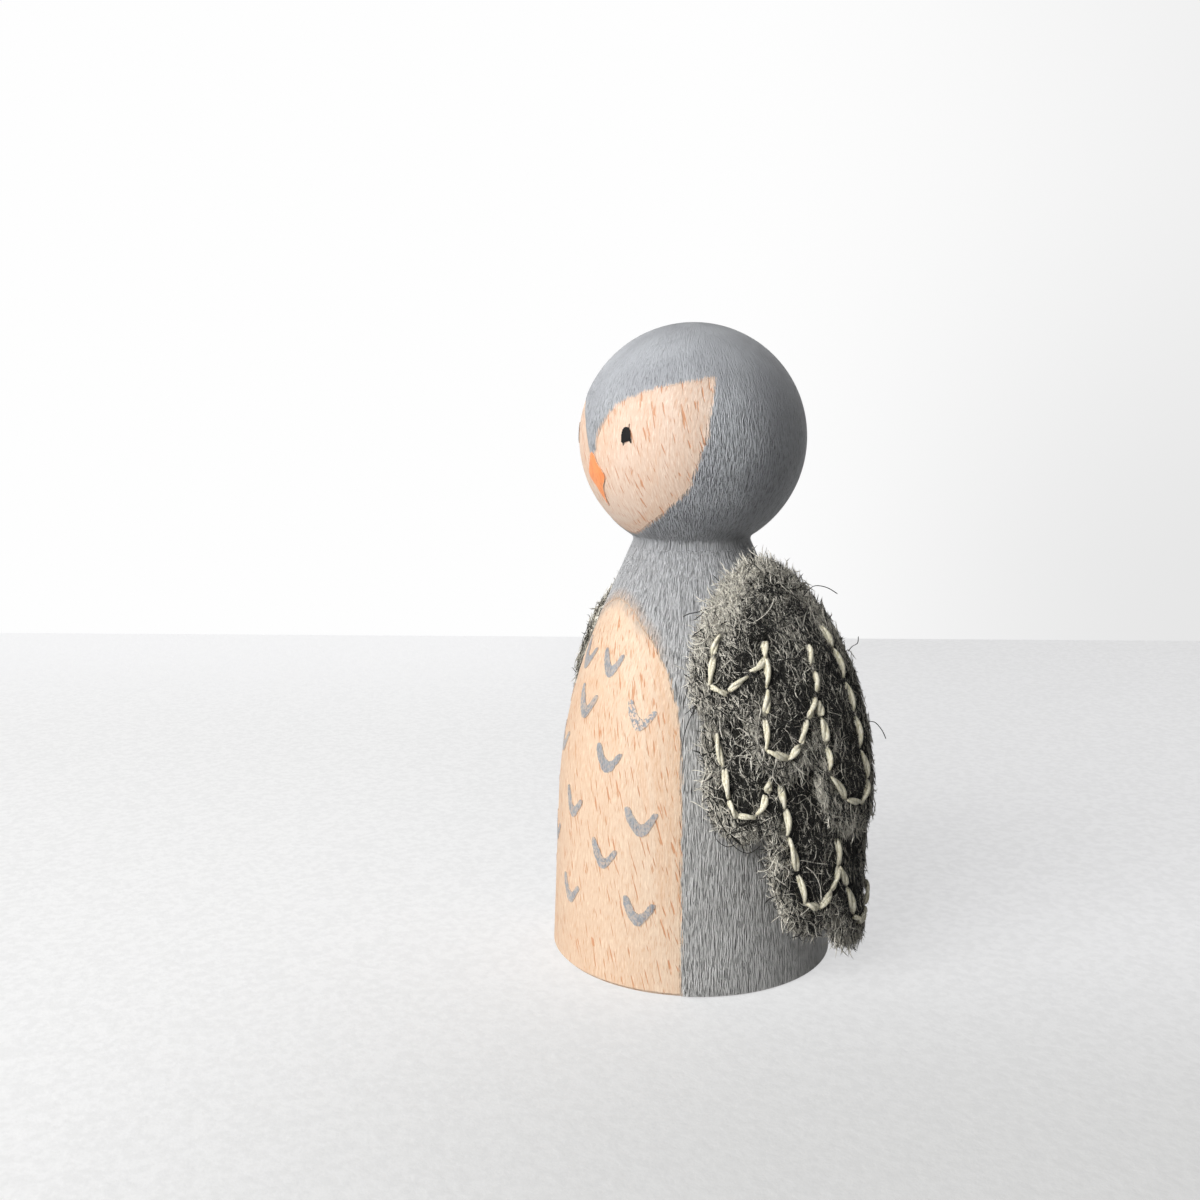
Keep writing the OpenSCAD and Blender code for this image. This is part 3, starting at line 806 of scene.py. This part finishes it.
def tick_outline(height, turn, shape):
    """One V-shaped brush mark, as turn and height."""
    lean, grow, left, right = shape
    half, tall = TICK_W / 2 * grow, TICK_H * grow
    points = [
        (0.05, 0.0), (0.32, 0.1), (0.62, 0.42 * right), (1.0, 0.92 * right), (0.93, 1.06 * right),
        (0.7, 1.0 * right), (0.38, 0.68 * right), (0.08, 0.5), (-0.2, 0.62 * left), (-0.62, 1.1 * left),
        (-0.86, 1.16 * left), (-0.98, 1.0 * left), (-0.8, 0.6 * left), (-0.45, 0.2), (-0.15, 0.0),
    ]
    r = float(body_radius(height, 0))
    tilt = math.radians(lean)
    x, y = (np.array(points) * [half, tall]).T
    x, y = x * math.cos(tilt) - y * math.sin(tilt), x * math.sin(tilt) + y * math.cos(tilt)
    return smooth_line(np.stack([turn + np.degrees(x / r), height + y], axis=1), 3, closed=True)


def make_ticks(paint):
    """Fifteen small V marks on the breast, each brushed a little differently."""
    rng = np.random.default_rng(7)
    parts = []
    for height, turns in TICK_ROWS:
        for turn in turns:
            shape = [rng.uniform(*span) for span in ((-5, 5), (0.92, 1.06), (0.95, 1.12), (0.85, 1.0))]
            outline = tick_outline(height, turn, shape)
            low, high = outline.min(0) - 0.6, outline.max(0) + 0.3
            part = painted_patch("tick", low, high, (0.55, 0.14), outline, on_body, 0.07, 0.10)
            dry = 1.0 if (height, turn) == DRY_TICK else rng.uniform(0.15, 0.5)
            set_attribute(part, "dry", np.full(len(part.data.vertices), dry))
            parts.append(part)
    finish_piece(join_all(parts, "breast_tick_strokes"), paint, "slate_paint", "breast_ticks")


WING_AXIS = WING_STANDOFF * np.array([math.sin(WING_SWING), -math.cos(WING_SWING)])


def on_wing(flat, t=0.0):
    """Turn and height about the left wing's axis to a place on felt that follows the body, out by t."""
    return on_body(flat, t, WING_AXIS)


def unit(v):
    """Vectors brought to length one."""
    return v / np.maximum(np.linalg.norm(v, axis=-1, keepdims=True), 1e-9)


def wing_frames(flat, t):
    """Along the turn, up the felt and straight out of it, at places on a wing."""
    along = unit(on_wing(flat + [0.5, 0], t) - on_wing(flat - [0.5, 0], t))
    up = unit(on_wing(flat + [0, 0.1], t) - on_wing(flat - [0, 0.1], t))
    return along, up, unit(np.cross(along, up))


def felt_rise(depth):
    """How much of its thickness the felt has at a depth from its cut edge, as 0 to 1."""
    return np.sqrt(np.clip(1 - (1 - np.clip(depth / FELT_EDGE, 0, 1)) ** 2, 0.02, 1))


def felt_wave(points, side):
    """Unevenness of the felt's face, in millimetres."""
    shift = Vector((1, 2, 0)) * FELT_SEED[side]
    return 0.20 * noise_at(points, 3.4, shift) + 0.10 * noise_at(points, 1.1, shift)


def pull_of_thread(points, layer, side):
    """How far the stitches pull the felt in at each place, in millimetres."""
    away = np.full(len(points), FAR_OFF)
    for row in [row for name, rows in STITCH_ROWS.items() if name.startswith(layer) for row in rows]:
        holes = on_wing(np.array(row, float) + WING_SET[side], LAYERS[layer][1] + FELT_T / 2)
        away = np.minimum(away, distance_to_line(points, holes, closed=False))
    return STITCH_PULL * np.exp(-((away / STITCH_REACH) ** 2))


def felt_depth(flat, layer, side, wander):
    """Depth of places inside a felt layer's cut outline, in millimetres."""
    line = smooth_line(LAYERS[layer][0], 5, closed=True) + WING_SET[side]
    points = on_wing(flat)
    depth = depth_in(points, flat, line, on_wing)
    if wander:
        depth += 0.22 * noise_at(points + 7, 1.3)
    return depth


def felt_shade(points, flat, depth, layer, side):
    """How pale the wool is: nearly black inside the stitches, beige grey along the cut edges, with painted
    light on the front of the covert's crown.
    """
    shift = Vector((side, 0, side)) * 3.3
    patch = noise_at(points, 2.2, shift) + 0.6 * noise_at(points, 0.8, shift)
    rim = 1 - np.clip((depth - RIM_REACH - 0.8 * patch) / 1.4, 0, 1)
    turn, height = (flat - WING_SET[side]).T
    # Painted light: the front of the covert's crown, which faces the window, is made paler; all the felt
    # grows paler towards its top
    crown = 0
    if layer == "covert":
        crown = np.clip((63 - turn) / 11, 0, 1) * np.clip((height - 30) / 3, 0, 1)
    top = 0.24 * np.clip((height - 32) / 4, 0, 1)
    return np.clip(0.12 + top + 0.62 * np.maximum(rim, crown) + 0.26 * patch, 0, 1)


def side_name(side):
    """The first word of the names on one side."""
    return "left_" if side > 0 else "right_"


def layer_box(layer, side, room=0):
    """The least and the greatest turn and height of a felt layer, with room round it."""
    outline = np.array(LAYERS[layer][0]) + WING_SET[side]
    return outline.min(0) - room, outline.max(0) + room


def make_felt(layer, side):
    """One layer of a felt wing with its edge rounded and its stitches sunk in, and its flat size."""
    inner, outer = LAYERS[layer][1:]
    low, high = layer_box(layer, side, FELT_ROOM)
    width, height = (high[0] - low[0]) * FLAT_R * math.pi / 180, high[1] - low[1]
    name = side_name(side) + layer + "_felt"
    felt, shares = flat_grid(name, [int(width / FELT_STEP), int(height / FELT_STEP)])
    flat = shares * (high - low) + low
    middle = (inner + outer) / 2
    depth = felt_depth(flat, layer, side, True)
    set_attribute(felt, "turn", flat[:, 0])
    set_attribute(felt, "depth", depth)
    put_places(felt, on_wing(flat, middle))
    trim(felt, depth)
    area = sum(f.area for f in felt.data.polygons)
    thicken(felt, outer - inner, 0.0)
    points = places(felt)
    depth = read_attribute(felt, "depth")
    flat = np.stack([read_attribute(felt, "turn"), points[:, 2]], axis=1)
    core = on_wing(flat, middle)
    out = wing_frames(flat, middle)[2]
    above = ((points - core) * out).sum(axis=1)
    rise = felt_rise(depth)
    wave = felt_wave(core, side) * rise
    dent = pull_of_thread(core, layer, side) * (above > 0)
    spread = np.sign(above) * np.minimum(np.abs(above), (outer - inner) / 2) * rise
    points = points - out * above[:, None] + out * (spread + (wave - dent) * (above > 0))[:, None]
    set_attribute(felt, "shade", felt_shade(core, flat, np.maximum(depth, 0), layer, side))
    put_places(felt, points * [side, 1, 1])
    edit_all(felt, bpy.ops.mesh.normals_make_consistent, inside=False)
    bpy.ops.object.shade_smooth()
    return felt, (width * MM, height * FLAT_RISE * MM), area


def make_strands(name, lines, radii, sides):
    """Many thin strands as one piece: each follows its own line and is pointed at both ends."""
    count, stations = len(lines), lines.shape[1] - 1
    ball = {"segments": sides, "ring_count": stations, "radius": MM}
    strand = added(name, bpy.ops.mesh.primitive_uv_sphere_add, **ball)
    ball = places(strand)
    station = np.rint(np.arccos(np.clip(ball[:, 2], -1, 1)) / math.pi * stations).astype(int)
    around = np.arctan2(ball[:, 1], ball[:, 0])
    copies = strand.modifiers.new("copies", "ARRAY")
    copies.count = count
    copies.use_relative_offset = False
    only(strand)
    bpy.ops.object.modifier_apply(modifier=copies.name)
    ahead = np.empty_like(lines)
    ahead[:, 1:-1] = lines[:, 2:] - lines[:, :-2]
    ahead[:, 0], ahead[:, -1] = lines[:, 1] - lines[:, 0], lines[:, -1] - lines[:, -2]
    ahead = unit(ahead)
    aside = unit(np.cross(ahead, [0.31, 0.17, 0.94]))
    over = np.cross(ahead, aside)
    thick = radii[:, station] * (np.sin(np.arange(stations + 1) / stations * math.pi) > 0.01)[station]
    points = (
        lines[:, station]
        + aside[:, station] * (thick * np.cos(around))[..., None]
        - over[:, station] * (thick * np.sin(around))[..., None]
    )
    put_places(strand, points.reshape(-1, 3))
    only(strand)
    bpy.ops.object.shade_smooth()
    return strand, len(ball)


def scatter(rng, layer, side, count, low_depth, high_depth):
    """Random places on a felt layer, as turn and height, with their depth from its edge."""
    low, high = layer_box(layer, side)
    flats, depths, total = [], [], 0
    while total < count:
        flat = rng.uniform(low, high, (count, 2))
        depth = felt_depth(flat, layer, side, False)
        kept = (depth > low_depth) & (depth < high_depth)
        flats.append(flat[kept])
        depths.append(depth[kept])
        total += kept.sum()
    return np.concatenate(flats)[:count], np.concatenate(depths)[:count]


def make_fuzz(layer, side, kind):
    """One kind of loose fibres on a felt layer."""
    inner, outer = LAYERS[layer][1:]
    counts, spans, rim_share, (short, long), (thin, thick) = FIBRES[kind]
    count = counts[layer]
    rng = np.random.default_rng(FELT_SEED[side] + len(layer) + 20 * spans)
    rim_count = int(count * rim_share)
    nap, nap_depth = scatter(rng, layer, side, count - rim_count, 0.05, FAR_OFF * 10)
    rim, rim_depth = scatter(rng, layer, side, rim_count, 0.0, RIM_REACH)
    flat, depth = np.concatenate([nap, rim]), np.concatenate([nap_depth, rim_depth])
    on_rim = np.arange(count) >= len(nap)
    middle = (inner + outer) / 2
    core = on_wing(flat, middle)
    along, up, out = wing_frames(flat, middle)
    # Where each one starts, and which way it lies: most of them run up and down the felt
    face = (outer - inner) / 2 * felt_rise(depth)
    if kind == "under":
        out = -out
    else:
        face = face + felt_wave(core, side) - pull_of_thread(core, layer, side)
    height = np.where(on_rim, face * rng.uniform(-0.8, 1.0, count), face - 0.02)
    angle = rng.uniform(0, math.tau, count)
    angle = np.where(rng.random(count) < 0.6, rng.normal(math.pi / 2 + 0.25, 0.42, count), angle)
    way = along * np.cos(angle)[:, None] + up * np.sin(angle)[:, None]
    bend = np.cross(out, way)
    # Its length, its one sweep with a wave on it, and how far its ends and its middle stand off
    length = rng.uniform(short, long, count) * np.where(on_rim, 0.75, 1)
    shares = np.arange(spans + 1) / spans
    sweep = rng.normal(0, 0.6, count)
    wave = np.clip(rng.normal(0, 0.06, count) * length, -0.2, 0.2)
    phase = rng.uniform(0, math.tau, count)
    lift = np.where(on_rim, rng.uniform(-0.25, 0.35, count), rng.uniform(0, 1, count) ** 3 * 0.45)
    crest = rng.uniform(0.02, 0.15, count)
    line = [core + out * height[:, None]]
    run = length / spans
    for s in shares[1:]:
        turn = sweep * (s - 0.5) + wave * np.cos(phase + s * 7) * 3
        line.append(line[-1] + way * (run * np.cos(turn))[:, None] + bend * (run * np.sin(turn))[:, None])
    lines = np.stack(line, axis=1) - (way * (length * np.where(on_rim, 0.4, 0.5))[:, None])[:, None]
    stand = lift[:, None] * (2 * shares - 1) ** 2 + crest[:, None] * np.sin(math.pi * shares)
    lines += out[:, None] * stand[..., None]
    lines[..., 2] = np.maximum(lines[..., 2], TABLE_GAP)
    radii = np.repeat(rng.uniform(thin, thick, count)[:, None], spans + 1, axis=1)
    strand, each = make_strands(side_name(side) + layer + "_" + kind, lines * [side, 1, 1], radii, 3)
    pale = felt_shade(core, flat, depth, layer, side)
    light = rng.random(count) < 0.12 + 0.76 * pale
    shade = np.where(light, rng.uniform(0.66, 1.0, count), rng.uniform(0, 0.24, count))
    set_attribute(strand, "shade", np.repeat(shade, each))
    return strand


def make_hairs():
    """The single long hairs that have worked loose from the left wing."""
    lines = []
    for shade, points in STRAY_HAIRS:
        turn, height, out = smooth_line(points, 5).T
        lines.append(on_wing(np.stack([turn, height], axis=1), out))
    lines = np.array(lines)
    strand, each = make_strands("left_stray_hairs", lines, np.full(lines.shape[:2], HAIR_RADIUS), 4)
    set_attribute(strand, "shade", np.repeat([shade for shade, points in STRAY_HAIRS], each))
    return strand


def make_stitches(row_name, rows, side):
    """One row of backstitch, each stitch two plies laid round each other."""
    outer = LAYERS[row_name.split("_")[0]][2]
    rng = np.random.default_rng(len(row_name) * 3 + (side > 0))
    lines, radii = [], []
    s = np.linspace(0, 1, STITCH_STATIONS + 1)
    swell = np.sin(math.pi * s)
    plump = np.sin(math.pi * np.clip(s, 0.03, 0.97)) ** 0.24
    for row in rows:
        holes = np.array(row, float)
        for a, b in zip(holes, holes[1:]):
            a, b = a + WING_SET[side], b + WING_SET[side]
            a, b = a + rng.normal(0, 0.10, 2) * [4, 1], b + rng.normal(0, 0.10, 2) * [4, 1]
            flat = a + (b - a) * s[:, None]
            bow = rng.normal(0, 0.10)
            out = wing_frames(flat, outer)[2]
            wide = np.cross(out, unit(on_wing(b[None], outer) - on_wing(a[None], outer)))
            sunk = -STITCH_PULL - 0.12 + 0.58 * swell ** 0.42
            centre = on_wing(flat, outer) + out * sunk[:, None] + wide * (bow * swell)[:, None]
            twist = rng.uniform(0, math.tau) + s * rng.uniform(2.6, 3.6)
            gauge = plump * rng.uniform(0.95, 1.2)
            apart = PLY_APART * gauge
            ply = wide * (apart * np.cos(twist))[:, None] + out * (apart * np.sin(twist))[:, None]
            lines += [centre + ply, centre - ply]
            radii += [PLY_R * gauge] * 2
    name = side_name(side) + row_name + "_thread"
    return make_strands(name, np.array(lines) * [side, 1, 1], np.array(radii), 8)[0]


def make_wing(side, wool, thread):
    """One wing: two felt layers with their fuzz, and the rows of backstitch."""
    for layer in ("flight", "covert"):
        felt, flat, area = make_felt(layer, side)
        finish_piece(felt, wool, "wool_felt", side_name(side) + layer + "_layer")
        fuzz = [finish_piece(make_fuzz(layer, side, kind), wool, "wool_felt") for kind in FIBRES]
        if layer == "covert" and side > 0:
            fuzz.append(finish_piece(make_hairs(), wool, "wool_felt"))
    for row_name, rows in STITCH_ROWS.items():
        row = make_stitches(row_name, rows, side)
        finish_piece(row, thread, "cotton_thread", side_name(side) + row_name)


def along_way(tree, place, way):
    """How far a place lies along a direction."""
    return add(tree, "VectorMath", {0: place, 1: way}, operation="DOT_PRODUCT").outputs["Value"]


def wall_glow_with_painted_shade(tree, place, aside):
    """The wall as it is seen, with painted shade: darker to the right, most of all low down."""
    shown = mixed(tree, between(tree, aside, 0, 170 * MM), "#fefefe", "#ececec")
    height = add(tree, "SeparateXYZ", {0: place}).outputs["Z"]
    low = scaled(tree, between(tree, height, 120 * MM, 0), 0.55)
    return tinted(tree, low, between(tree, aside, 0, 120 * MM), shown, "#dedede")


def table_glow_with_painted_light_and_shade(tree, place, aside, grit):
    """The table as it is seen, with painted shadow and light: darker to the right and in front, brighter
    far off on the left.
    """
    near = along_way(tree, place, TOWARD)
    # Painted light and shade: paler on the left, a painted shadow in front and to the right, and painted
    # light far off on the left
    shown = mixed(tree, between(tree, aside, -60 * MM, 40 * MM), "#ffffff", "#f6f6f7")
    front = scaled(tree, between(tree, near, -10 * MM, 45 * MM), 0.9)
    shown = tinted(tree, front, between(tree, aside, -70 * MM, 10 * MM), shown, "#d6d6d5")
    shown = tinted(tree, between(tree, grit, 0.35, 0.65), 0.14, shown, "#b8b8b8")
    far = scaled(tree, between(tree, near, -60 * MM, -WALL_GAP), between(tree, aside, 60 * MM, -60 * MM))
    return tinted(tree, far, 0.5, shown, (1.2, 1.2, 1.22, 1))


def make_stage():
    """A pale table and a white wall. Both glow for the camera, with painted shade and light in the glow,
    and the table keeps its shadows.
    """
    for name, rise, centre, lit, bounce, strength, cover in (
        ("table", 0, -TOWARD * (WALL_GAP - 1.0), "#cacaca", "#a8a8a8", 1.28, 0.55),
        ("wall", 1, -TOWARD * WALL_GAP, "#808080", "#606060", 1.0, 1.0),
    ):
        plane = added(name, bpy.ops.mesh.primitive_plane_add, size=2, location=centre)
        plane.rotation_euler = (math.radians(90) * rise, 0, CAMERA_SIDE)
        only(plane)
        bpy.ops.object.transform_apply(location=True, rotation=True, scale=True)
        material, tree = new_material(name + "_pale")
        rays = add(tree, "LightPath").outputs
        place = add(tree, "TexCoord").outputs["Object"]
        aside = along_way(tree, place, ACROSS)
        finish = {
            "Base Color": mixed(tree, rays["Is Diffuse Ray"], lit, bounce),
            "Roughness": 0.7,
            "Specular IOR Level": 0.2,
        }
        if rise:
            shown = wall_glow_with_painted_shade(tree, place, aside)
        else:
            grit = grain_noise(tree, 0.9, 0.9, 0.9, seed=4.0, detail=3)
            finish["Normal"] = bumped(tree, grit, 0.8, 0.12)
            shown = table_glow_with_painted_light_and_shade(tree, place, aside, grit)
        surface = add(tree, "BsdfPrincipled", finish)
        glow = add(tree, "Emission", {"Color": shown, "Strength": strength})
        seen = summed(tree, rays["Is Camera Ray"], rays["Is Glossy Ray"], "MAXIMUM")
        seen = summed(tree, seen, rays["Is Transmission Ray"], "MAXIMUM")
        mix = {0: scaled(tree, seen, cover), 1: surface.outputs[0], 2: glow.outputs[0]}
        mix = add(tree, "MixShader", mix)
        add(tree, "OutputMaterial", {"Surface": mix.outputs[0]})
        plane.data.materials.append(material)


def make_lights():
    """A soft window on the left, the pale room beside it and a weak window behind on the right."""
    middle = Vector((0, 0, 30 * MM))
    for name, aside, near, height, size, power in (
        ("window", -0.30, 0.34, 0.36, 0.42, 3.3),
        ("pale_room", -0.34, 0.26, 0.03, 0.34, 1.45),
        ("far_window", 0.34, -0.30, 0.20, 0.3, 0.05),
    ):
        place = ACROSS * aside + TOWARD * near + Vector((0, 0, height))
        lamp = added(name, bpy.ops.object.light_add, type="AREA", location=place)
        lamp.data.size = size
        lamp.data.energy = power
        lamp.rotation_euler = (middle - place).to_track_quat("-Z", "Y").to_euler()
    world = bpy.context.scene.world or bpy.data.worlds.new("room")
    bpy.context.scene.world = world
    world.use_nodes = True
    tree = world.node_tree
    background = tree.nodes["Background"]
    background.inputs["Color"].default_value = linear("#ffffff")
    # The room lights little, and is white where it is seen
    seen = add(tree, "LightPath").outputs["Is Camera Ray"]
    tree.links.new(summed(tree, scaled(tree, seen, 0.9), 0.05), background.inputs["Strength"])


make_camera()
bpy.context.scene.view_settings.view_transform = "Standard"
make_stage()
make_lights()

beech = make_beech()
# Lighter coat colours for below the neck: painted light on the shoulders and the body
body = ("#cdced0", "#bdbcb9")
# The third colour of each paint is the painted shade in its grain's valleys and pits
slate = make_paint("slate_acrylic", "#b4b7bb", "#a2a4a9", "#6a6a69", 0.26, 0.40, body=body)
tick_grey = make_paint("tick_acrylic", "#9c9ea1", "#909296", "#b8b8b8", 0.10, 0.05, dry=1.0)
orange = make_paint("beak_acrylic", "#f49a5e", "#ee8c4e", "#e4c8b8", 0.10, 0.05)
ink = make_paint("eye_ink", "#0a0a0c", "#070708", "#909090", 0.04, 0.03, gloss=0.15)

wool = make_wool()
cotton = make_thread()
glue = make_glue()

make_peg(beech)
make_coat(slate)
make_beak(orange)
make_eyes(ink)
make_ticks(tick_grey)
for side in (1, -1):
    make_wing(side, wool, cotton)
for name in ("left_wing_glue", "right_wing_glue"):
    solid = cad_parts[name]
    solid.data.materials.clear()
    solid.data.materials.append(glue)
